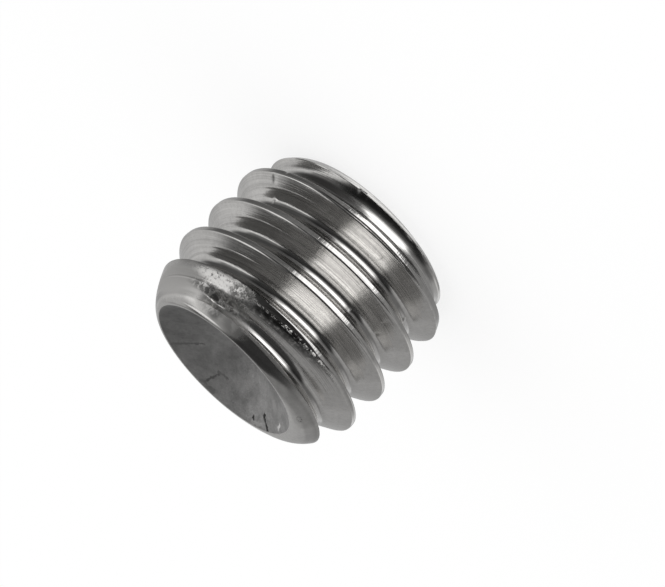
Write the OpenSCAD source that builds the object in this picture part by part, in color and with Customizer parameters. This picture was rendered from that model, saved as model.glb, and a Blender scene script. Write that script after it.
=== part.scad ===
// Grub screw: a headless set screw with a rolled thread, a cup point and a hexagon socket.
// It stands on its socket end. The axis is Z and the cup opens upwards, all in millimetres.

/* [Thread] */
// Diameter over the crests
thread_d = 5.8; // [5.6:0.1:8]
// Distance from one crest to the next
pitch = 1; // [0.8:0.05:1.25]
// Angle between the two flanks of a groove
flank_angle = 60; // [55:1:65]
// Radius rounding each crest
crest_r = 0.11; // [0.08:0.01:0.18]
// Radius rounding the bottom of each groove
root_r = 0.17; // [0.08:0.01:0.18]
// Direction in which a crest crosses the socket face
start_angle = 301; // [0:1:359]

/* [Body] */
// Length over both ends
body_l = 4.8; // [4.4:0.1:12]

/* [Cup end] */
// Diameter of the end face, where the rounded end begins
point_d = 4.2; // [4:0.1:4.8]
// Length of the rounded end
point_l = 1.8; // [0.6:0.1:2.2]
// Fullness of both rounded ends: 1 is a plain cone and 2 a quarter ellipse
fullness = 1.65; // [1.2:0.05:2.5]
// Diameter of the cup's rim
cup_d = 3.9; // [2:0.1:4.1]
// Angle across the cup's cone
cup_angle = 118; // [100:1:140]

/* [Socket end] */
// Diameter of the face that the screw stands on
back_d = 4.35; // [4:0.05:4.8]
// Length of the rounded edge round that face
back_l = 1.35; // [0.4:0.05:2]
// Size of the hexagon across its flats
hex_af = 3; // [2:0.1:3.2]
// Depth of the hexagon's flats
hex_depth = 2; // [1.2:0.1:2.2]
// Diameter of the countersunk mouth
mouth_d = 3.8; // [3.7:0.05:3.95]
// Angle across the mouth's cone and across the drilled bottom
drill_angle = 120; // [110:1:130]

/* [Hidden] */

// Smoothness of revolved faces and of the thread, in steps for each full turn
$fn = 96;
turn_steps = 48;
// Steps along each rounded end, and along each half of a rounded crest or groove
end_steps = 8;
arc_steps = 2;
// How far the blank stands clear of the crests, and cuts run on past a face
crest_gap = 0.06;
overrun = 0.5;
// Turns of full thread that run on past each end of the body, before it is cut to length
spare_turns = 0.5;

blank_r = thread_d / 2 + crest_gap;
cup_depth = cup_d / 2 / tan(cup_angle / 2);

// A flank leans by half the flank angle, so each arc turns through the rest of a right angle
arc_sweep = 90 - flank_angle / 2;
arc_rise = (crest_r + root_r) * (1 - cos(arc_sweep));
flank_run = pitch / 2 - (crest_r + root_r) * sin(arc_sweep);
thread_depth = flank_run / tan(flank_angle / 2) + arc_rise;

// Points along one crest or groove arc, as [height, radius], for angles counted from its middle
function crest_point(a) = [
    pitch / 2 + crest_r * sin(a),
    thread_d / 2 - crest_r * (1 - cos(a))
];
function groove_point(a) = [
    root_r * sin(a),
    thread_d / 2 - thread_depth + root_r * (1 - cos(a))
];

// One pitch of the thread's section, from the middle of a groove up to just short of the next
arc_step = arc_sweep / arc_steps;
thread_section = [
    for (i = [0:arc_steps]) groove_point(i * arc_step),
    for (i = [-arc_steps:arc_steps]) crest_point(i * arc_step),
    for (i = [-arc_steps:-1]) groove_point(i * arc_step) + [pitch, 0]
];

// Rounded end that leaves its end face at radius r, as [radius, depth below that face]. Step 0
// is on the end face, and the last step is on the blank.
function end_point(r, length, i) =
    let (a = 90 * i / end_steps)
    [
        r + (blank_r - r) * pow(sin(a), 2 / fullness),
        length * (1 - pow(cos(a), 2 / fullness))
    ];

// A solid helical thread that runs past both ends of the body. Row k of its points holds the
// section at step k of the helix, and the next turn's row closes the top of the section.
module thread_rod() {
    size = len(thread_section);
    rows = ceil(turn_steps * (body_l / pitch + 1 + 2 * spare_turns));
    last = rows + turn_steps;
    low = -(1 + spare_turns) * pitch;

    function place(k, p) =
        let (a = 360 * k / turn_steps)
        [p[1] * cos(a), p[1] * sin(a), low + pitch * k / turn_steps + p[0]];
    function at(k, j) =
        j == size ? at(k + turn_steps, 0)
        : k > rows ? rows * size + size + k - rows - 1
        : k * size + j;

    helix = [
        for (k = [0:rows]) for (p = thread_section) place(k, p),
        for (k = [rows + 1:last]) place(k, thread_section[0])
    ];
    ends = [[0, 0, low], [0, 0, low + pitch * last / turn_steps]];
    bottom_rim = [
        for (k = [0:turn_steps]) at(k, 0),
        for (j = [size - 1:-1:1]) at(0, j)
    ];
    top_rim = [
        for (k = [last:-1:rows]) at(k, 0),
        for (j = [1:size - 1]) at(rows, j)
    ];
    sides = [
        for (k = [0:rows - 1]) for (j = [0:size - 1])
            each [
                [at(k, j), at(k + 1, j + 1), at(k + 1, j)],
                [at(k, j), at(k, j + 1), at(k + 1, j + 1)]
            ]
    ];
    polyhedron(
        points = concat(helix, ends),
        faces = concat(sides, fan(bottom_rim, len(helix)), fan(top_rim, len(helix) + 1))
    );
}

// Triangles from a closed rim of points to one point on the axis
function fan(rim, hub) = [
    for (i = [0:len(rim) - 1]) [rim[i], rim[(i + 1) % len(rim)], hub]
];

// The bar that the thread is rolled on, with both ends rounded
module blank() {
    rotate_extrude()
        polygon([
            [0, 0],
            for (i = [0:end_steps]) end_point(back_d / 2, back_l, i),
            for (i = [end_steps:-1:0])
                let (p = end_point(point_d / 2, point_l, i)) [p[0], body_l - p[1]],
            [0, body_l]
        ]);
}

// Cone-shaped recess in the upper end
module cup() {
    slope = tan(cup_angle / 2);
    translate([0, 0, body_l - cup_depth])
        cylinder(h = cup_depth + overrun, r1 = 0, r2 = (cup_depth + overrun) * slope);
}

// Hexagon with a countersunk mouth and the cone that the drill leaves below it
module socket() {
    slope = tan(drill_angle / 2);
    mouth_depth = mouth_d / 2 / slope;
    drill_depth = hex_af / 2 / slope;
    translate([0, 0, -overrun])
        cylinder(h = overrun + hex_depth, d = hex_af / cos(30), $fn = 6);
    translate([0, 0, -overrun])
        cylinder(h = overrun + mouth_depth, r1 = mouth_d / 2 + overrun * slope, r2 = 0);
    translate([0, 0, hex_depth])
        cylinder(h = drill_depth, r1 = hex_af / 2, r2 = 0);
}

module set_screw() {
    color([0.62, 0.62, 0.61])
        difference() {
            intersection() {
                blank();
                rotate([0, 0, start_angle]) thread_rod();
            }
            cup();
            socket();
        }
}

set_screw();
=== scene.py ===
import math
import bpy
import numpy as np
from mathutils import Matrix, Vector, noise


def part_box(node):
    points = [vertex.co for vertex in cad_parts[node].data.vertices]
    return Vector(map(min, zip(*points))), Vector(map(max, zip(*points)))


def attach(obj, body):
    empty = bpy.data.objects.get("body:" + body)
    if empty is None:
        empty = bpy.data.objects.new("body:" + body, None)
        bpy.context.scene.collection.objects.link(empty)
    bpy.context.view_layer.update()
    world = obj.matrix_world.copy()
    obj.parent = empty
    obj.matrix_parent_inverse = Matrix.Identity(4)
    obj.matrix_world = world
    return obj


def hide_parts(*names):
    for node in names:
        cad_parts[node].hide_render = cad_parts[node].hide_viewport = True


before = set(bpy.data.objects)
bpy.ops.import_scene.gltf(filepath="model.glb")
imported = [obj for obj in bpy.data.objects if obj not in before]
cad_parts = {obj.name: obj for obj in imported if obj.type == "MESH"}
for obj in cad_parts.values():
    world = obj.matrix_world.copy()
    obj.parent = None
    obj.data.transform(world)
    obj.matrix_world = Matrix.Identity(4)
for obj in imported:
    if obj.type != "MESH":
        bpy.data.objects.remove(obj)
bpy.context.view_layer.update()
print("frame loaded")

mm = 0.001
low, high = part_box("set_screw")
outerRadius = (high.x - low.x) / 2 / mm
bodyLength = (high.z - low.z) / mm
middle = (low + high) / 2


# Shader maths: a Signal wraps one output socket, so that masks and colours are plain expressions
class Signal:
    def __init__(self, tree, socket):
        self.tree, self.socket = tree, socket

    def add(self, kind, settings, inputs, output=0):
        node = self.tree.nodes.new(kind)
        for name, value in settings.items():
            setattr(node, name, value)
        for name, value in inputs.items():
            if isinstance(value, Signal):
                self.tree.links.new(value.socket, node.inputs[name])
            else:
                node.inputs[name].default_value = value
        return None if output is None else Signal(self.tree, node.outputs[output])

    def combine(self, operation, other, swapped=False):
        first, second = (other, self) if swapped else (self, other)
        return self.add("ShaderNodeMath", {"operation": operation}, {0: first, 1: second})

    def __add__(self, other):
        return self.combine("ADD", other)

    def __radd__(self, other):
        return self.combine("ADD", other, True)

    def __sub__(self, other):
        return self.combine("SUBTRACT", other)

    def __rsub__(self, other):
        return self.combine("SUBTRACT", other, True)

    def __mul__(self, other):
        return self.combine("MULTIPLY", other)

    def __rmul__(self, other):
        return self.combine("MULTIPLY", other, True)

    def __truediv__(self, other):
        return self.combine("DIVIDE", other)

    def __rtruediv__(self, other):
        return self.combine("DIVIDE", other, True)

    def power(self, exponent):
        return self.add("ShaderNodeMath", {"operation": "POWER"}, {0: self, 1: exponent})

    def clamped(self):
        return self.add("ShaderNodeClamp", {}, {"Value": self})

    def size(self):
        return self.add("ShaderNodeMath", {"operation": "ABSOLUTE"}, {0: self})

    # A colour made lighter or darker by this value
    def scaled(self, colour):
        return self.add("ShaderNodeVectorMath", {"operation": "SCALE"}, {0: colour[:3], "Scale": self})

    # 0 below low and 1 above high, with a smooth rise between
    def rise(self, low, high):
        return self.add(
            "ShaderNodeMapRange",
            {"interpolation_type": "SMOOTHSTEP"},
            {"Value": self, "From Min": low, "From Max": high, "To Min": 0.0, "To Max": 1.0},
        )

    # 1 inside a band of values, given where it begins, is full, begins to fade and has faded
    def band(self, ends):
        return self.rise(*ends[:2]) * (1 - self.rise(*ends[2:]))

    def noise(self, scale, detail=2.0, roughness=0.5):
        return self.add(
            "ShaderNodeTexNoise", {}, {"Vector": self, "Scale": scale, "Detail": detail, "Roughness": roughness}
        )


# Camera: low over the standing screw, and rolled so that the cup faces down and to the left
cameraPlace = {
    "elevation": 18.6,  # degrees above the horizon
    "roll": 135.4,  # degrees
    "distance": 104.5,  # mm from the middle of the screw
    "lens": 245.9,  # mm
    "sensor": 36,  # width of the sensor in mm
    "clip": (0.005, 5),  # nearest and furthest distance shown, in metres
    "aimRight": 0.83,  # mm that the aim lies to the right of the middle, as the camera sees it
    "aimUp": 0.2,  # mm that it lies above it
}


def makeCamera():
    tilt, roll = math.radians(cameraPlace["elevation"]), math.radians(cameraPlace["roll"])
    back = Vector((0, -math.cos(tilt), math.sin(tilt)))
    side, rise = Vector((1, 0, 0)), Vector((0, math.sin(tilt), math.cos(tilt)))
    right = side * math.cos(roll) - rise * math.sin(roll)
    up = side * math.sin(roll) + rise * math.cos(roll)
    place = middle + back * cameraPlace["distance"] * mm
    aim = middle + (right * cameraPlace["aimRight"] + up * cameraPlace["aimUp"]) * mm
    depth = (place - aim).normalized()
    right = up.cross(depth).normalized()
    up = depth.cross(right)
    data = bpy.data.cameras.new("camera")
    data.sensor_width, data.lens = cameraPlace["sensor"], cameraPlace["lens"]
    data.clip_start, data.clip_end = cameraPlace["clip"]
    camera = bpy.data.objects.new("camera", data)
    turn = Matrix((right, up, depth)).transposed().to_4x4()
    camera.matrix_world = Matrix.Translation(place) @ turn
    bpy.context.scene.collection.objects.link(camera)
    bpy.context.scene.camera = camera


# Sizes in mm. Angles are in degrees, counted from +X and seen from the cup
threadShape = {
    "pitch": 1.0,
    "flankLean": 30,
    "startAngle": 301,  # where a crest crosses the socket face
    "upperCorner": 0.015,  # corners of the flat crest, from the middle of a crest along the axis
    "lowerCorner": 0.11,
    "cornerSoftness": 0.0125,
    "crestTilt": 0.12,  # slope of the flat, which faces a little towards the socket
    "depth": 0.588,
    "upperRoot": 0.2,  # radii of a groove's bottom, on the side of the upper flank and of the lower one
    "lowerRoot": 0.24,
    "cornerRows": 8,  # rows of the mesh at each corner of a crest
    "cornerReach": 0.045,
    "crestRows": 4,  # rows from the middle of a crest to its edge
    "upperFlankRows": 10,
    "lowerFlankRows": 3,
    "rootRows": 5,
    "columns": 360,  # round the screw, a multiple of 6 for the hexagon
    "seam": 0.25,  # share of a turn where the columns begin, at the back
    "spareTurns": 2,  # turns made beyond each end, before they are cut to length
    "sharpAngle": 40,  # edges that turn by more than this are shown sharp
}
# View angles are in degrees from the side that faces the camera, towards +X
endShape = {
    "pointLength": 1.8,
    "backRadius": 2.175,
    "backLength": 1.35,
    "fullness": 1.65,
    "coneAngle": -3,  # view angle where the cup end is a plain cone, and its spread to each side
    "coneSpread": 40,
    "coneLength": 1.1,
    "coneFullness": 1.12,
    "bulgeAngle": -78,  # and where it is fuller than elsewhere
    "bulgeSpread": 45,
    "bulgeFullness": 2.0,
    "slimAngle": 80,  # and where it is leaner
    "slimSpread": 50,
    "slimFullness": 1.5,
    "closedAngle": (5, 45),  # view angles between which the first groove closes up
    "closedTurns": 0.15,  # turns past the last whole crest over which the closing sets in
    "closedDepth": 1.5,  # depth from which the closing rises, in thread depths
    "blankGap": 0.06,
    "leanStart": -23,  # from this view angle on, the first groove climbs less, by so many mm per degree
    "lean": 0.0018,
    "leanReach": 90,  # degrees after which the lean grows no more
    "leanTurns": (0.12, 0.25),  # turns past the last whole crest where the lean begins, and over which it grows
    "behind": (150, 25),  # view angle at which the closing and the lean begin to end, and over how many degrees
    "rings": 6,
}
# Lap left by the rolling along the last crest, as beads along it: place above the crest, half width, how far out
lap = {"angle": -8, "spread": 32, "beads": ((0.055, 0.018, 0.022), (0.0, 0.018, -0.03))}
# Small burrs and dents: view angle, height, half width, how far out
burrs = [
    (57, 1.48, 0.06, 0.035), (-61, 1.29, 0.05, 0.03), (-33, 0.97, 0.05, 0.03), (-39, 1.98, 0.045, 0.03),
    (-49, 2.12, 0.04, -0.03), (16, 0.26, 0.07, 0.03), (57, 1.16, 0.05, -0.04), (-26, 2.31, 0.04, 0.02),
    (51, 0.95, 0.04, -0.03), (-55, 3.1, 0.04, -0.02), (-14, 1.1, 0.04, 0.02), (30, 2.2, 0.05, -0.02),
]
# The groove below the last crest is rounder: its middle below that crest, its depth and its radius, the share of
# that radius that it takes, how softly it meets the flanks, and where it faces
lastGroove = {
    "below": 0.49, "depth": 0.44, "radius": 0.4, "share": 0.9, "softness": 0.012, "angle": -10, "spread": 55,
}
cupShape = {
    "rimRadius": 2.0,
    "rimLand": 0.04,  # flat left between the cup and the rounded end
    "offCentre": (0.1, -0.03),
    "halfAngle": 59,
    "uneven": 0.02,  # height of the unevenness inside it, and how many of its waves make up 1 mm
    "unevenScale": 1.3,
    "unevenLayers": (0.8, 2.0, 3),  # how fast its finer waves weaken, how much finer each layer is, and the layers
    "evenRim": 0.125,  # share of the way down the wall over which the unevenness sets in
    "rings": 22,
}
socketShape = {"acrossFlats": 3.0, "depth": 2.0, "mouthRadius": 1.9, "halfAngle": 60, "rings": 6}
threadFinish, cupFinish, faceFinish = range(3)  # places of the three steels on the mesh

arcSweep = math.radians(90 - threadShape["flankLean"])
crestEdge = threadShape["lowerCorner"] + threadShape["cornerReach"]
lastCrest = math.floor(bodyLength / threadShape["pitch"])


# Where the rounded bottom of a groove begins, from the middle of a crest
def rootEdge(root):
    return threadShape["pitch"] / 2 - root * math.sin(arcSweep)


# Radius of the thread at a distance along the axis from the middle of a crest, above it if positive
def threadRadius(above):
    upper, lower, softness = (threadShape[key] for key in ("upperCorner", "lowerCorner", "cornerSoftness"))
    lines = [threadShape["crestTilt"] * (above - upper)]
    for corner, root, side in (upper, threadShape["upperRoot"], above), (lower, threadShape["lowerRoot"], -above):
        drop = threadShape["depth"] - root * (1 - math.cos(arcSweep))
        lines.append((corner - side) * drop / (rootEdge(root) - corner))
    crest = -softness * np.log(sum(np.exp(-line / softness) for line in lines))
    root = np.where(above > 0, threadShape["upperRoot"], threadShape["lowerRoot"])
    toRoot = threadShape["pitch"] / 2 - np.abs(above)
    groove = root - threadShape["depth"] - np.sqrt(np.maximum(root**2 - toRoot**2, 0))
    return outerRadius + np.where(toRoot < root * math.sin(arcSweep), groove, crest)


# Radius of the cup's rim, which was punched a little off centre
def rimRadius(angle):
    x, y = cupShape["offCentre"]
    across = x * np.sin(angle) - y * np.cos(angle)
    return x * np.cos(angle) + y * np.sin(angle) + np.sqrt(cupShape["rimRadius"] ** 2 - across**2)


# Radius of one rounded end at a depth below its face
def roundedEnd(depth, faceRadius, length, fullness):
    blank = outerRadius + endShape["blankGap"]
    cosine = np.clip(1 - depth / length, 0, 1) ** (fullness / 2)
    return faceRadius + (blank - faceRadius) * (1 - cosine**2) ** (1 / fullness)


def smooth(value):
    value = np.clip(value, 0, 1)
    return value * value * (3 - 2 * value)


def viewAngle(angle):
    return (np.degrees(angle) - 90) % 360 - 180


# 1 within half a spread of one view angle, falling to 0 at one and a half
def facing(angle, middle, spread):
    return smooth(1.5 - np.abs((viewAngle(angle) - middle + 180) % 360 - 180) / spread)


# The cup end is a plain cone at the front and rounder everywhere else
def pointRadius(angle, depth):
    length, fullness = endShape["pointLength"], endShape["fullness"]
    cone = facing(angle, endShape["coneAngle"], endShape["coneSpread"])
    length = length + (endShape["coneLength"] - length) * cone
    fullness = fullness + (endShape["coneFullness"] - endShape["fullness"]) * cone
    for side in ("bulge", "slim"):
        share = facing(angle, endShape[side + "Angle"], endShape[side + "Spread"])
        fullness = fullness + (endShape[side + "Fullness"] - endShape["fullness"]) * share
    return roundedEnd(depth, rimRadius(angle) + cupShape["rimLand"], length, fullness)


def backRadius(angle, depth):
    return roundedEnd(depth, endShape["backRadius"], endShape["backLength"], endShape["fullness"])


def blankRadius(angle, z):
    return np.minimum(pointRadius(angle, bodyLength - z), backRadius(angle, z))


# Turns of the thread up to a point
def threadTurns(angle, z):
    return z / threadShape["pitch"] - (angle - math.radians(threadShape["startAngle"])) / (2 * math.pi)


# 1 nearly all round, falling to 0 on the way to the seam at the back
def notBehind(angle):
    start, fade = endShape["behind"]
    return 1 - smooth((viewAngle(angle) - start) / fade)


# Distance along the axis from the nearest crest, with the first groove's lean
def fromCrest(angle, z):
    turns = threadTurns(angle, z)
    start, growth = endShape["leanTurns"]
    reach = np.clip(viewAngle(angle) - endShape["leanStart"], 0, endShape["leanReach"])
    lean = endShape["lean"] * reach * notBehind(angle)
    turns = turns + lean / threadShape["pitch"] * smooth((turns - lastCrest - start) / growth)
    return (turns - np.round(turns)) * threadShape["pitch"]


def bumpAt(angle, z, place):
    view, height, size, out = place
    away = np.hypot((viewAngle(angle) - view) * math.pi / 180 * outerRadius, z - height) / size
    return out * np.exp(-away * away)


# Radius of the finished wall: the thread within the rounded ends, and what the rolling did to it
def wallRadius(angle, z):
    turns, blank = threadTurns(angle, z), blankRadius(angle, z)
    wall = np.minimum(threadRadius(fromCrest(angle, z)), blank)
    start, end = endShape["closedAngle"]
    closed = smooth((viewAngle(angle) - start) / (end - start)) * notBehind(angle)
    closed = closed * smooth((turns - lastCrest) / endShape["closedTurns"])
    wall = np.maximum(wall, blank - endShape["closedDepth"] * threadShape["depth"] * (1 - closed))
    above = (turns - 1) * threadShape["pitch"]
    radius, softness = lastGroove["radius"], lastGroove["softness"]
    reach = lastGroove["share"] * radius
    away = np.clip(above + lastGroove["below"], -reach, reach)
    bottom = outerRadius - lastGroove["depth"] + radius - np.sqrt(radius**2 - away**2)
    bottom = np.minimum(np.where(above > 0, 0, bottom), blank)
    rounder = np.log1p(np.exp((bottom - wall) / softness)) * softness
    wall = wall + rounder * facing(angle, lastGroove["angle"], lastGroove["spread"])
    lapped = facing(angle, lap["angle"], lap["spread"])
    for place, width, height in lap["beads"]:
        wall = wall + height * np.exp(-(((above - place) / width) ** 2)) * lapped
    return wall + sum(bumpAt(angle, z, burr) for burr in burrs)


# How far from a crest the rounded end cuts it, on one side, found by halving
def cutEdge(angles, crestZ, side, halvings=24):
    near = np.full_like(crestZ, crestEdge)
    far = np.full_like(crestZ, threadShape["pitch"] / 2)
    for step in range(halvings):
        half = (near + far) / 2
        z = np.clip(crestZ + side * half, 0, bodyLength)
        cut = blankRadius(angles, z) < threadRadius(fromCrest(angles, crestZ + side * half))
        near, far = np.where(cut, half, near), np.where(cut, far, half)
    return near


# Depth below a face at which a rounded end has cut away the whole thread
def bareDepth(faceRadius, length, steps=2000):
    depths = np.linspace(0, length, steps)
    radii = roundedEnd(depths, faceRadius, length, endShape["fullness"])
    return float(np.interp(outerRadius - threadShape["depth"], radii, depths))


# Collects the rings and faces of one mesh, each ring with a point in every column
class Shell:
    def __init__(self, columns):
        self.columns = columns
        self.angles = (threadShape["seam"] + np.arange(columns) / columns) * 2 * math.pi
        self.points, self.faces, self.finish = [], [], []
        self.count = 0

    def addPoints(self, angle, radius, z):
        angle, radius, z = np.broadcast_arrays(angle, radius, z)
        place = np.stack([radius * np.cos(angle), radius * np.sin(angle), z], -1)
        self.points.append(place.reshape(-1, angle.shape[-1] if angle.ndim else 1, 3))
        first = self.count
        self.count += place.size // 3
        return (first + np.arange(place.size // 3)).reshape(angle.shape)

    def addFaces(self, corners, finish):
        for face in corners.tolist():
            kept = [v for k, v in enumerate(face) if v != face[k - 1]]
            if len(set(kept)) > 2:
                self.faces.append(kept)
                self.finish.append(finish)

    # Joins a ring of points to the next one further along the profile, and finish is the steel between them
    def bridge(self, ring, after, finish):
        self.addFaces(np.stack([ring, np.roll(ring, -1), np.roll(after, -1), after], -1), finish)
        return after

    def addRing(self, ring, radius, z, finish):
        return self.bridge(ring, self.addPoints(self.angles, radius, z), finish)

    # Each point's place on an unrolled map: its turn round the screw, and its share of the way along the profile
    def unrolled(self):
        rows = np.concatenate([np.broadcast_to(block, (len(block), self.columns, 3)) for block in self.points])
        along = np.cumsum(np.linalg.norm(np.diff(rows, axis=0, prepend=rows[:1]), axis=-1), axis=0)
        along, places, row = along / along[-1], [], 0
        for block in self.points:
            shares = along[row:row + len(block), :block.shape[1]]
            turns = np.arange(self.columns) / self.columns if block.shape[1] > 1 else np.array([np.nan])
            places.append(np.stack([np.broadcast_to(turns, shares.shape), shares], -1).reshape(-1, 2))
            row += len(block)
        return np.concatenate(places)

    # A point on the axis, as a ring of its own
    def addHub(self, z):
        return np.full(self.columns, self.addPoints(0.0, 0.0, z))


# Rows from the middle of a crest out past one of its corners, where they are closest together
def cornerSteps(corner):
    near = corner + threadShape["cornerReach"] * np.linspace(-1, 1, threadShape["cornerRows"] + 1)
    wide = np.linspace(0, crestEdge, threadShape["crestRows"])
    return np.unique(np.concatenate([wide, near]).round(6)) / crestEdge


# Rows of one pitch, from a crest to the next, each as its distance from the lower crest
def rowHeights(lower, upper):
    pitch = threadShape["pitch"]
    upperCorner, lowerCorner = cornerSteps(threadShape["upperCorner"]), cornerSteps(threadShape["lowerCorner"])
    rootSteps = np.sin(np.linspace(0, arcSweep, threadShape["rootRows"] + 1)) / math.sin(arcSweep)
    upperSteps = np.linspace(0, 1, threadShape["upperFlankRows"] + 1)
    lowerSteps = np.linspace(0, 1, threadShape["lowerFlankRows"] + 1)
    lowRoot = np.maximum(lower, rootEdge(threadShape["upperRoot"]))
    highRoot = np.maximum(upper, rootEdge(threadShape["lowerRoot"]))
    rows = [lower * s for s in upperCorner[:-1]]
    rows += [lower + (lowRoot - lower) * s for s in upperSteps[:-1]]
    rows += [pitch / 2 - (pitch / 2 - lowRoot) * s for s in rootSteps[:0:-1]]
    rows += [pitch / 2 + (pitch / 2 - highRoot) * s for s in rootSteps]
    rows += [pitch - highRoot + (highRoot - upper) * s for s in lowerSteps[1:]]
    rows += [pitch - upper * s for s in lowerCorner[-2:0:-1]]
    return np.stack(rows)


# The thread between two heights: a grid of rows that follow the helix, cut off level at both ends
def addThread(shell, bottom, top):
    pitch, columns, spare = threadShape["pitch"], shell.columns, threadShape["spareTurns"]
    turn = (shell.angles - math.radians(threadShape["startAngle"])) / (2 * math.pi)
    heights = []
    for k in range(-spare, math.ceil(bodyLength / pitch) + spare):
        crest = (k + turn) * pitch
        lower, upper = cutEdge(shell.angles, crest, 1), cutEdge(shell.angles, crest + pitch, -1)
        heights.append(crest + rowHeights(lower, upper))
    perTurn = len(heights[0])
    z = np.concatenate(heights)
    rows = np.arange(len(z))[:, None]
    first = np.where(z <= bottom, rows, 0).max(0)
    last = np.where(z >= top, rows, len(z)).min(0)
    z = np.clip(z, bottom, top)
    ids = shell.addPoints(shell.angles, wallRadius(shell.angles, z), z)
    ids = ids[np.clip(rows, first, last), np.arange(columns)]
    after = np.concatenate([ids[:, 1:], np.roll(ids[:, :1], -perTurn, axis=0)], 1)
    inner = slice(0, len(z) - perTurn - 1)
    quads = np.stack([ids[:-1], after[:-1], after[1:], ids[1:]], -1)
    shell.addFaces(quads[inner].reshape(-1, 4), threadFinish)
    return ids[0], ids[-1]


# The socket from its drilled bottom out to the flat ring round its mouth
def addSocket(shell):
    slope = math.tan(math.radians(socketShape["halfAngle"]))
    depth, mouth = socketShape["depth"], socketShape["mouthRadius"]
    flat = socketShape["acrossFlats"] / 2
    sector = math.radians(60)  # one side of the hexagon
    hexagon = flat / np.cos((shell.angles + sector / 2) % sector - sector / 2)
    hexMouth = (mouth - hexagon) / slope
    steps = np.linspace(0, 1, socketShape["rings"])
    ring = shell.addHub(depth + flat / slope)
    for s in steps[1:]:
        ring = shell.addRing(ring, flat * s, depth + flat * (1 - s) / slope, faceFinish)
    ring = shell.addRing(ring, hexagon, depth, faceFinish)
    for s in steps[1:]:
        ring = shell.addRing(ring, hexagon, depth + (hexMouth - depth) * s, faceFinish)
    for s in steps[1:3] / steps[2]:  # the mouth is short, and two rings are enough
        ring = shell.addRing(ring, hexagon + (mouth - hexagon) * s, hexMouth * (1 - s), faceFinish)
    return shell.addRing(ring, endShape["backRadius"], 0.0, faceFinish)


# The part of a rounded end that the thread doesn't reach, with its rings closest together at the face
def addRoundedEnd(shell, ring, bare, upwards):
    steps = np.linspace(0, 1, endShape["rings"] + 1)[1:-1] ** 2
    for depth in bare * (steps[::-1] if upwards else steps):
        if upwards:
            ring = shell.addRing(ring, pointRadius(shell.angles, depth), bodyLength - depth, threadFinish)
        else:
            ring = shell.addRing(ring, backRadius(shell.angles, depth), depth, threadFinish)
    return ring


# The cup, from its rim down its uneven cone to the middle
def addCup(shell, ring):
    deep = cupShape["rimRadius"] / math.tan(math.radians(cupShape["halfAngle"]))
    rim = rimRadius(shell.angles)
    ring = shell.addRing(ring, rim + cupShape["rimLand"], bodyLength, threadFinish)
    ring = shell.addRing(ring, rim, bodyLength, faceFinish)
    scale, layers = cupShape["unevenScale"], cupShape["unevenLayers"]
    for s in np.linspace(1, 0, cupShape["rings"])[1:-1]:
        x, y = rim * s * np.cos(shell.angles), rim * s * np.sin(shell.angles)
        rough = np.array([noise.fractal(Vector((a, b, 0)) * scale, *layers) for a, b in zip(x, y)])
        z = bodyLength - deep * (1 - s) + cupShape["uneven"] * smooth((1 - s) / cupShape["evenRim"]) * rough
        ring = shell.addRing(ring, rim * s, z, cupFinish)
    shell.bridge(ring, shell.addHub(bodyLength - deep), cupFinish)


# Gives the mesh an unrolled map, named OFBake, for textures to be baked on
def addBakeMap(mesh, places):
    layer = mesh.uv_layers.new(name="OFBake").data
    for face in mesh.polygons:
        spots = places[list(face.vertices)]
        turns = spots[:, 0]
        if np.nanmax(turns) - np.nanmin(turns) > 0.5:  # a face across the seam
            turns[turns < 0.5] += 1
        turns[np.isnan(turns)] = np.nanmean(turns)
        for loop, spot in zip(face.loop_indices, spots):
            layer[loop].uv = spot


def makeScrew(materials):
    shell = Shell(threadShape["columns"])
    bottom = bareDepth(endShape["backRadius"], endShape["backLength"])
    top = bareDepth(float(rimRadius(shell.angles).max()) + cupShape["rimLand"], endShape["pointLength"])
    ring = addSocket(shell)
    ring = addRoundedEnd(shell, ring, bottom, False)
    lowRing, highRing = addThread(shell, bottom, bodyLength - top)
    shell.bridge(ring, lowRing, threadFinish)
    ring = addRoundedEnd(shell, highRing, top, True)
    addCup(shell, ring)

    points = np.concatenate([block.reshape(-1, 3) for block in shell.points])
    used = np.unique(np.concatenate([np.array(face) for face in shell.faces]))  # without the points cut off
    order = np.full(len(points), -1)
    order[used] = np.arange(len(used))
    mesh = bpy.data.meshes.new("screw")
    faces = [[int(order[v]) for v in face] for face in shell.faces]
    mesh.from_pydata((points[used] * mm).tolist(), [], faces)
    for material in materials:
        mesh.materials.append(material)
    mesh.polygons.foreach_set("material_index", shell.finish)
    mesh.shade_smooth()
    mesh.set_sharp_from_angle(angle=math.radians(threadShape["sharpAngle"]))
    mesh.validate()
    addBakeMap(mesh, shell.unrolled()[used])
    screw = bpy.data.objects.new("screw", mesh)
    bpy.context.scene.collection.objects.link(screw)
    print("screw made:", len(mesh.vertices), "points,", len(mesh.polygons), "faces")
    return screw


softCut = (0.3, 0.7)  # levels of noise that become 0 and 1 in a soft pattern

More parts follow.
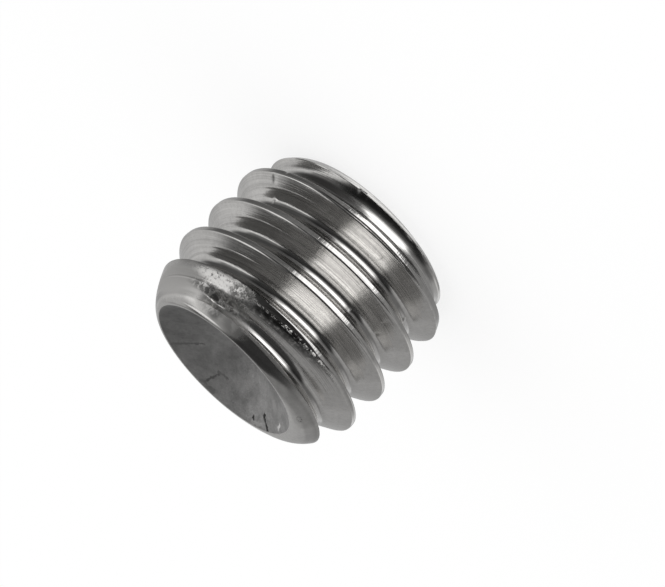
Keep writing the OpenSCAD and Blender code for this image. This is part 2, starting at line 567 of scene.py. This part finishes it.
# Lengths in mm. A band is the distance from the nearest crest at which something begins, is full,
# begins to fade and has faded
steelLook = {
    "colour": (0.6, 0.59, 0.575, 1),
    "crestRoughness": 0.1,  # on crests and in the bottoms of grooves
    "flankRoughness": 0.15,
    "flankBand": (0.02, 0.09, 0.33, 0.4),  # above a crest
    "streakRoughness": 0.06,  # that the rolled streaks add
    "lineSpacing": 0.04,  # between the finest rolled lines
    "lineLength": 3.0,
    "lineContrast": 0.3,
    "lineCut": (0.55, 0.9),  # levels of the pattern of lines between which they turn dark
    "lineLift": 0.06,  # how much lighter the steel is between them
    "lineHeight": 0.0009,
    "rolledHeights": (0.2, 0.35, 4.3, 4.5),  # heights between which lines and chatter stand out, with their fades
    "broadScale": (4, 2),  # how much wider and longer the broad streaks are than the lines
    "broad": 0.2,  # how much they vary the light
    "ridge": (0.205, 0.03, 0.0035),  # fine ridge along a flank: place, half width and height
    "grainSize": 0.05,
    "grainHeight": 0.00012,
    "mottleSize": 0.12,
    "mottle": 0.14,
    "chatterSpacing": 0.06,  # between the marks across a crest
    "chatterHeight": 0.0015,
    "crestPlace": (-0.11, 0.07, 0.12),  # middle of the shaded crest, and half its width, full and faded
    "crestShade": 0.22,
    "grooveShadeBand": (0.1, 0.22, 0.36, 0.42),  # below a crest
    "grooveShade": 0.2,  # share of the colour taken by painted shade in the grooves
    "rootShade": 0.5,  # and by painted shade in their bottoms
    "rootEdge": (0.42, 0.47),  # distance from a crest between which that painted shade sets in
    "cleanRoot": (-8.5, 9.45, 16.2),  # view angle of the bottoms without it, and half its reach, full and faded
    "farSide": (40, 60),  # view angles between which the lines weaken, and the share of their strength lost
    "farSmoothing": 0.6,
    "sleekSide": (-80, 25, 44),  # view angle of the side without lines, and half its reach, full and faded
}


# Marks on the thread's steel, in which a later one lies over those before it: middle (view angle, height) and
# half sizes, climb in mm per degree, size of the speckles and the levels of noise that cut them, and how light
# (shine), rough, raised (height, in mm) and metallic (metal) the steel is in them. Some of them are painted shade
# and painted highlights
marks = {
    "worn": {"middle": (70, 4.36), "size": (24, 0.33), "slope": 0.002, "grain": 0.4, "spots": (0.05, 0.3),
             "shine": 1.0, "roughness": 0.45},
    "haze": {"middle": (27, 4.5), "size": (19, 0.3), "slope": 0, "grain": 0.3, "spots": (0.2, 0.45),
             "shine": 0.95, "roughness": 0.5},
    "smudge": {"middle": (15, 4.6), "size": (9, 0.13), "slope": 0, "grain": 0.25, "spots": (0.45, 0.55),
               "shine": 0.7, "roughness": 0.5},
    "stain": {"middle": (30, 4.58), "size": (5, 0.13), "slope": 0, "grain": 0.25, "spots": (0.35, 0.55),
              "shine": 0.45, "roughness": 0.5},
    # Pitted patch on the rounded cup end, with a painted sheen: lighter and less metallic steel
    "pittedSheen": {"middle": (36, 4.03), "size": (16, 0.13), "slope": 0, "grain": 0.1, "spots": (0.35, 0.5),
              "shine": 1.5, "roughness": 0.45, "height": 0.003, "metal": 0.6},
    "shade": {"middle": (-6, 4.0), "size": (26, 0.1), "slope": 0.0045, "grain": 0.14, "spots": (0.25, 0.55),
              "shine": 0.2, "roughness": 0.2},
    "band": {"middle": (-6, 4.52), "size": (26, 0.04), "slope": 0, "grain": 0.3, "spots": (0.1, 0.4),
             "shine": 0.9, "roughness": 0.8},
    "streaks": {"middle": (38, 4.55), "size": (7, 0.15), "slope": 0, "grain": 0.12, "spots": (0.4, 0.6),
                "shine": 1.5, "roughness": 0.6},
    # Painted highlight along the bottom of the first groove: lighter and less metallic steel
    "grooveHighlight": {"middle": (33.5, 4.41), "size": (7, 0.014), "slope": 0.001, "grain": 0.3, "spots": (0.1, 0.4),
                "shine": 1.6, "roughness": 0.7, "metal": 0.4},
    "dirt": {"middle": (33, 4.3), "size": (18, 0.12), "slope": 0, "grain": 0.12, "spots": (0.46, 0.54),
             "shine": 0.4, "roughness": 0.4, "height": -0.004},
    "sideDirt": {"middle": (21, 4.05), "size": (7, 0.18), "slope": 0, "grain": 0.09, "spots": (0.46, 0.54),
                 "shine": 0.4, "roughness": 0.4, "height": -0.006},
    "rimGlint": {"middle": (37, 4.755), "size": (14, 0.016), "slope": -0.0006, "grain": 0.2, "spots": (0.3, 0.45),
                 "shine": 1.6, "roughness": 0.5, "metal": 0.6},
    # Raised specks along a crest, with painted glints on them: lighter and less metallic steel
    "sparks": {"middle": (-15, 3.912), "size": (23, 0.03), "slope": 0.0028, "grain": 0.1, "spots": (0.5, 0.58),
               "shine": 1.5, "roughness": 0.4, "height": 0.03, "metal": 0.6},
    "pit": {"middle": (-59, 4.73), "size": (3, 0.035), "slope": 0, "grain": 0.05, "spots": (0.5, 0.58),
            "shine": 0.2, "roughness": 0.5},
    # Painted dark reflection on the rounded end at the socket
    "backDarkReflection": {"middle": (-2, 0.3), "size": (36, 0.12), "slope": 0.0022, "grain": 0.16, "spots": (0.22, 0.45),
                 "shine": 0.22, "roughness": 0.3},
    "backShade": {"middle": (33, 0.56), "size": (25, 0.09), "slope": 0, "grain": 0.3, "spots": (0.05, 0.3),
                  "shine": 0.25, "roughness": 0.3},
}


# The shader's own coordinates of a point on the screw, in mm, with the angle in degrees from the camera's side
class ScrewPlace:
    def __init__(self, tree):
        place = Signal(tree, tree.nodes.new("ShaderNodeTexCoord").outputs["Object"])
        point = place.add("ShaderNodeVectorMath", {"operation": "SCALE"}, {0: place, "Scale": 1 / mm})
        self.point = point
        self.x, self.y, self.z = (point.add("ShaderNodeSeparateXYZ", {}, {0: point}, axis) for axis in "XYZ")
        self.radius = (self.x * self.x + self.y * self.y).power(0.5)
        turn = self.x.add("ShaderNodeMath", {"operation": "ARCTAN2"}, {0: self.x, 1: 0 - self.y})
        self.angle = turn * (180 / math.pi)
        turns = self.z / threadShape["pitch"] - (self.angle + 270 - threadShape["startAngle"]) / 360
        self.above = (turns - turns.add("ShaderNodeMath", {"operation": "ROUND"}, {0: turns})) * threadShape["pitch"]

    # A pattern from 0 to 1 drawn out round the screw: spacing across it and length along it, both in mm
    # The share of height in X keeps one turn's pattern from being the next one's
    def streaks(self, spacing, length, detail=3.0, roughness=0.6, heightShare=0.7):
        across = (self.above.size() - self.radius) / spacing
        stretch = outerRadius / length / self.radius
        return self.radius.add("ShaderNodeCombineXYZ", {}, {
            "X": self.x * stretch + self.z * heightShare, "Y": self.y * stretch, "Z": across,
        }).noise(1.0, detail, roughness).rise(*softCut)

    # A pattern from 0 to 1 of marks that run along the screw, with their spacing in mm
    def chatter(self, spacing):
        stretch = outerRadius / spacing / self.radius
        return self.radius.add("ShaderNodeCombineXYZ", {}, {
            "X": self.x * stretch, "Y": self.y * stretch, "Z": self.z,
        }).noise(1.0, 2.0).rise(*softCut)

    # A pattern of spots, with their size in mm and the levels of noise that become 0 and 1
    def speckle(self, size, cut=softCut, detail=5.0, roughness=0.72):
        return self.point.noise(1 / size, detail, roughness).rise(*cut)

    # 1 along a ragged scratch between two points seen from above, and 0 away from it
    # Its raggedness, and the distances at which its edge begins and ends, are in half widths
    def stroke(self, start, end, width, grain=0.3, raggedness=6, edge=(0.5, 1.5)):
        run = (end[0] - start[0], end[1] - start[1])
        fromStart = self.x - start[0], self.y - start[1]
        share = (fromStart[0] * run[0] + fromStart[1] * run[1]) / (run[0] ** 2 + run[1] ** 2)
        share = share.clamped()
        sideways, onwards = fromStart[0] - share * run[0], fromStart[1] - share * run[1]
        away = (sideways * sideways + onwards * onwards).power(0.5)
        ragged = away + (self.point.noise(grain / width, 4.0, 0.7) - 0.5) * width * raggedness
        return 1 - ragged.rise(width * edge[0], width * edge[1])

    # 1 inside an oval mark, from its middle (angle, height), its half sizes and its climb in mm per degree
    def mark(self, middle, size, slope, softness=0.4):
        across = (self.angle - middle[0]) / size[0]
        upward = (self.z - middle[1] - (self.angle - middle[0]) * slope) / size[1]
        return 1 - (across * across + upward * upward).power(0.5).rise(1 - softness, 1 + softness)


def newSteel(name):
    material = bpy.data.materials.new(name)
    material.use_nodes = True
    shader = material.node_tree.nodes["Principled BSDF"]
    shader.inputs["Metallic"].default_value = 1
    return material, material.node_tree, shader


def threadSteel():
    material, tree, shader = newSteel("rolledSteel")
    place = ScrewPlace(tree)
    above = place.above
    spacing, length = steelLook["lineSpacing"], steelLook["lineLength"]
    wider, longer = steelLook["broadScale"]
    lines = place.streaks(spacing, length)
    sideMiddle, sideFull, sideEnd = steelLook["sleekSide"]
    sleek = 1 - (place.angle - sideMiddle).size().rise(sideFull, sideEnd)
    broad = place.streaks(spacing * wider, length * longer)
    broad = broad + (0.5 - broad) * sleek
    grain = place.speckle(steelLook["grainSize"], detail=3.0)
    rolled = place.z.band(steelLook["rolledHeights"]) * (1 - sleek)
    rolled = rolled * (1 - place.angle.rise(*steelLook["farSide"]) * steelLook["farSmoothing"])
    chatter = place.chatter(steelLook["chatterSpacing"])
    mottle = place.speckle(steelLook["mottleSize"])
    crestMiddle, crestFull, crestEnd = steelLook["crestPlace"]
    crest = 1 - (above - crestMiddle).size().rise(crestFull, crestEnd)
    groove = (0 - above).band(steelLook["grooveShadeBand"])
    flank = above.band(steelLook["flankBand"])
    unshadedMiddle, unshadedFull, unshadedEnd = steelLook["cleanRoot"]
    root = above.size().rise(*steelLook["rootEdge"])
    root = root * (place.angle - unshadedMiddle).size().rise(unshadedFull, unshadedEnd)
    # Painted shade: the grooves below the crests and the bottoms of the grooves are darkened
    shine = (1 - groove * steelLook["grooveShade"]) * (1 - root * steelLook["rootShade"])
    shine = shine * (1 + steelLook["broad"] / 2 - broad * steelLook["broad"])
    dark = rolled * lines.rise(*steelLook["lineCut"])
    shine = shine * (1 + steelLook["lineLift"] - dark * steelLook["lineContrast"])
    shine = shine * (1 - crest * steelLook["crestShade"]) * (1 + (0.5 - mottle) * steelLook["mottle"])
    rough = steelLook["crestRoughness"] + flank * (steelLook["flankRoughness"] - steelLook["crestRoughness"])
    rough = rough + broad * steelLook["streakRoughness"]
    bumps = (lines * steelLook["lineHeight"] + crest * chatter * steelLook["chatterHeight"]) * rolled
    metal = 1.0
    for mark in marks.values():
        amount = place.mark(mark["middle"], mark["size"], mark["slope"]) * place.speckle(mark["grain"], mark["spots"])
        shine = shine * (1 - amount) + amount * mark["shine"]
        rough = rough * (1 - amount) + amount * mark["roughness"]
        if "height" in mark:
            bumps = bumps + amount * mark["height"]
        if "metal" in mark:
            metal = metal * (1 - amount) + amount * mark["metal"]
    tree.links.new(shine.scaled(steelLook["colour"]).socket, shader.inputs["Base Color"])
    tree.links.new(rough.socket, shader.inputs["Roughness"])
    tree.links.new(metal.socket, shader.inputs["Metallic"])
    ridgePlace, ridgeWidth, ridgeHeight = steelLook["ridge"]
    ridge = 1 - (above - ridgePlace).size().rise(0.0, ridgeWidth)
    height = bumps + grain * steelLook["grainHeight"] + ridge * ridgeHeight
    bump = height.add("ShaderNodeBump", {}, {"Strength": 1.0, "Distance": mm, "Height": height})
    tree.links.new(bump.socket, shader.inputs["Normal"])
    return material


cupLook = {
    "colour": (0.46, 0.455, 0.45, 1),
    "roughness": 0.5,
    "blotchSize": 0.45,
    "blotch": 0.4,
    "grainSize": 0.06,
    "grain": 0.12,
    "grainHeight": 0.003,
    "sideShade": 0.45,  # how much darker the cup is on the side towards +X, and from where to where it darkens
    "sideReach": (0.2, 1.9),
}
# Scratches in the cup, and painted shade and painted highlights near its rim, in mm: start, end, half width and how
# bright the steel is in them
cupScratchesAndPaintedLight = {
    "gouge": ((-1.6, 0.97), (-1.3, 0.9), 0.035, 0.12),
    "nick": ((-1.27, 1.38), (-1.15, 1.28), 0.03, 0.2),
    "glint": ((-1.74, 0.45), (-1.7, 0.3), 0.03, 2.1),
    "crack": ((0.22, 1.85), (0.1, 1.42), 0.03, 0.55),
    "crackEnd": ((0.14, 1.42), (-0.12, 1.36), 0.03, 0.7),
    "fold": ((1.36, 1.42), (0.84, 0.98), 0.035, 0.55),
    "rimShade": ((-0.1, 1.9), (0.3, 1.88), 0.05, 0.75),
    # Painted highlight along the cup's rim
    "rimHighlight": ((-1.42, 1.12), (-1.22, 1.45), 0.04, 1.35),
}


def cupSteel():
    material, tree, shader = newSteel("cupSteel")
    place = ScrewPlace(tree)
    blotch = place.speckle(cupLook["blotchSize"])
    grain = place.speckle(cupLook["grainSize"])
    shine = (1 + cupLook["blotch"] * (0.5 - blotch)) * (1 + cupLook["grain"] / 2 - grain * cupLook["grain"])
    shine = shine * (1 - place.x.rise(*cupLook["sideReach"]) * cupLook["sideShade"])
    for start, end, width, level in cupScratchesAndPaintedLight.values():
        amount = place.stroke(start, end, width)
        shine = shine * (1 - amount) + amount * level
    tree.links.new(shine.scaled(cupLook["colour"]).socket, shader.inputs["Base Color"])
    shader.inputs["Roughness"].default_value = cupLook["roughness"]
    height = grain * cupLook["grainHeight"]
    bump = height.add("ShaderNodeBump", {}, {"Strength": 1.0, "Distance": mm, "Height": height})
    tree.links.new(bump.socket, shader.inputs["Normal"])
    return material


# The flat faces and the socket
faceLook = {"colour": steelLook["colour"], "roughness": 0.3, "mottleSize": 0.15, "mottle": 0.2}


def faceSteel():
    material, tree, shader = newSteel("faceSteel")
    place = ScrewPlace(tree)
    shine = 1 + faceLook["mottle"] / 2 - place.speckle(faceLook["mottleSize"]) * faceLook["mottle"]
    tree.links.new(shine.scaled(faceLook["colour"]).socket, shader.inputs["Base Color"])
    shader.inputs["Roughness"].default_value = faceLook["roughness"]
    return material


# Cards that only reflections show, so that the steel gets its light and dark zones: upright ones round the screw,
# each nearer than the one before it, and flat ones above and below it
# Angles in degrees: azimuth from the camera's side towards +X, height above the middle
# Flat cards have their height in metres, and x and y as shares of it. Below, where it is negative, their sides
# change places, so that belowFront lies behind the screw
# fade is the share of a card that its soft edges take, at its lower and higher azimuth, bottom and top, or on a
# flat card at -X, +X, -Y and +Y
uprightCards = {
    "tentLeft": {"azimuth": (-182, -60), "height": (-80, 62), "level": 0.36, "fade": (0, 0, 0, 0.25)},
    "tentRight": {"azimuth": (40, 135), "height": (-80, 62), "level": 0.17, "fade": (0, 0, 0, 0.25)},
    "tentBehind": {"azimuth": (118, 205), "height": (-80, 58), "level": 0.5, "fade": (0.25, 0.35, 0, 0.22)},
    "behindLow": {"azimuth": (140, 215), "height": (-80, -42), "level": 1.2, "fade": (0.15, 0.15, 0, 0.1)},
    "sideLow": {"azimuth": (-170, -95), "height": (-30, -4), "level": 0.8, "fade": (0.2, 0.3, 0.3, 0.3)},
    "sideHigh": {"azimuth": (98, 156), "height": (-5, 52), "level": 0.63, "fade": (0.2, 0.1, 0.3, 0.4)},
    "sideRight": {"azimuth": (50, 122), "height": (20, 62), "level": 1.1, "fade": (0.12, 0.35, 0.2, 0.15)},
    "darkLeft": {"azimuth": (-80, -40), "height": (-80, 60), "level": 0.38, "fade": (0.2, 0, 0, 0)},
    "darkRight": {"azimuth": (8, 78), "height": (-80, 20), "level": 0.3, "fade": (0, 0.2, 0, 0.3)},
    "frontTop": {"azimuth": (-78, 66), "height": (-24, 62), "level": 0.05, "fade": (0.08, 0.15, 0.1, 0)},
    "softbox": {"azimuth": (-51, 24), "height": (-80, 8), "level": 2.5, "fade": (0.12, 0.12, 0, 0.16)},
    "softboxLow": {"azimuth": (-56, 24), "height": (-80, -28), "level": 2.5, "fade": (0.1, 0.12, 0, 0.1)},
}
flatCards = {
    "ceiling": {"x": (-2, 2), "y": (-2, 2), "height": 0.3, "level": 0.32, "fade": (0, 0, 0, 0)},
    "darkFront": {"x": (-0.72, 0.5), "y": (-2, 0.06), "height": 0.27, "level": 0.05, "fade": (0.3, 0.3, 0, 0.05)},
    "darkBehind": {"x": (0.12, 1), "y": (0, 1.4), "height": 0.26, "level": 0.09, "fade": (0.15, 0.3, 0.1, 0.3)},
    "belowFront": {"x": (-0.45, 0.2), "y": (-0.7, -0.05), "height": -0.28, "level": 1.5, "fade": (0.3, 0.3, 0.3, 0.3)},
    "below": {"x": (-2, 2), "y": (-2, 2), "height": -0.3, "level": 0.08, "fade": (0, 0, 0, 0)},
}
cardDistance = 0.2  # of the first upright card, in metres
cardGap = 0.05  # share of that distance between one card and the next
cardSteps = 16  # corners along each edge of an upright card


def makeCard(name, corners, card):
    steps = len(corners) // 2
    mesh = bpy.data.meshes.new(name)
    faces = [[k, k + 1, steps + k + 1, steps + k] for k in range(steps - 1)]
    mesh.from_pydata(corners, [], faces)
    places = mesh.uv_layers.new(name="place").data
    for loop in mesh.loops:
        row, step = divmod(loop.vertex_index, steps)
        places[loop.index].uv = (step / (steps - 1), row)
    material = bpy.data.materials.new(name)
    material.use_nodes = True
    tree = material.node_tree
    tree.nodes.clear()
    place = Signal(tree, tree.nodes.new("ShaderNodeUVMap").outputs[0])
    across = place.add("ShaderNodeSeparateXYZ", {}, {0: place}, "X")
    upward = place.add("ShaderNodeSeparateXYZ", {}, {0: place}, "Y")
    solid = 1.0
    for side, width in zip((across, 1 - across, upward, 1 - upward), card["fade"]):
        if width:
            solid = side.rise(0.0, width) * solid
    glow = place.add("ShaderNodeEmission", {}, {"Strength": card["level"]})
    clear = place.add("ShaderNodeBsdfTransparent", {}, {})
    mixed = place.add("ShaderNodeMixShader", {}, {0: solid, 1: clear, 2: glow})
    place.add("ShaderNodeOutputMaterial", {}, {"Surface": mixed}, None)
    mesh.materials.append(material)
    piece = bpy.data.objects.new(name, mesh)
    bpy.context.scene.collection.objects.link(piece)
    piece.visible_camera = piece.visible_diffuse = piece.visible_shadow = False


def makeCards():
    for order, (name, card) in enumerate(uprightCards.items()):
        distance = cardDistance * (1 - cardGap * order)
        corners = []
        for height in card["height"]:
            for angle in np.linspace(*card["azimuth"], cardSteps):
                angle = math.radians(angle)
                corners.append(middle + distance * Vector(
                    (math.sin(angle), -math.cos(angle), math.tan(math.radians(height)))))
        makeCard(name, corners, card)
    for name, card in flatCards.items():
        corners = [middle + card["height"] * Vector((x, y, 1)) for y in card["y"] for x in card["x"]]
        makeCard(name, corners, card)


# Whiteness 1 hides the shadow. The floor is clear from below, and reflections don't show it
floorLook = {"whiteness": 0.8, "reach": 2}  # metres from the middle to each side


def makeFloor():
    mesh = bpy.data.meshes.new("floor")
    reach = floorLook["reach"]
    corners = [(x * reach, y * reach, low.z) for x, y in ((-1, -1), (1, -1), (1, 1), (-1, 1))]
    mesh.from_pydata(corners, [], [(0, 1, 2, 3)])
    material = bpy.data.materials.new("paleFloor")
    material.use_nodes = True
    tree = material.node_tree
    tree.nodes.clear()
    rays = Signal(tree, tree.nodes.new("ShaderNodeLightPath").outputs["Is Camera Ray"])
    matt = rays.add("ShaderNodeBsdfDiffuse", {}, {"Color": (1, 1, 1, 1)})
    glow = rays.add("ShaderNodeEmission", {}, {"Strength": 1.0})
    above = rays.add("ShaderNodeMixShader", {}, {0: rays * floorLook["whiteness"], 1: matt, 2: glow})
    below = rays.add("ShaderNodeNewGeometry", {}, {}, "Backfacing")
    clear = rays.add("ShaderNodeBsdfTransparent", {}, {})
    mixed = rays.add("ShaderNodeMixShader", {}, {0: below, 1: above, 2: clear})
    rays.add("ShaderNodeOutputMaterial", {}, {"Surface": mixed}, None)
    mesh.materials.append(material)
    floor = bpy.data.objects.new("floor", mesh)
    bpy.context.scene.collection.objects.link(floor)
    floor.visible_glossy = False


def makeWorld():
    world = bpy.data.worlds.new("studio")
    bpy.context.scene.world = world
    world.use_nodes = True
    back = world.node_tree.nodes["Background"]
    back.inputs["Color"].default_value = (1, 1, 1, 1)
    back.inputs["Strength"].default_value = 1


makeCamera()
materials = [threadSteel(), cupSteel(), faceSteel()]
print("steels made:", len(materials))
screw = makeScrew(materials)
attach(screw, "root")
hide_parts("set_screw")
makeCards()
print("cards made:", len(uprightCards) + len(flatCards))
makeFloor()
makeWorld()
bpy.context.scene.view_settings.view_transform = "Standard"
print("scene made")
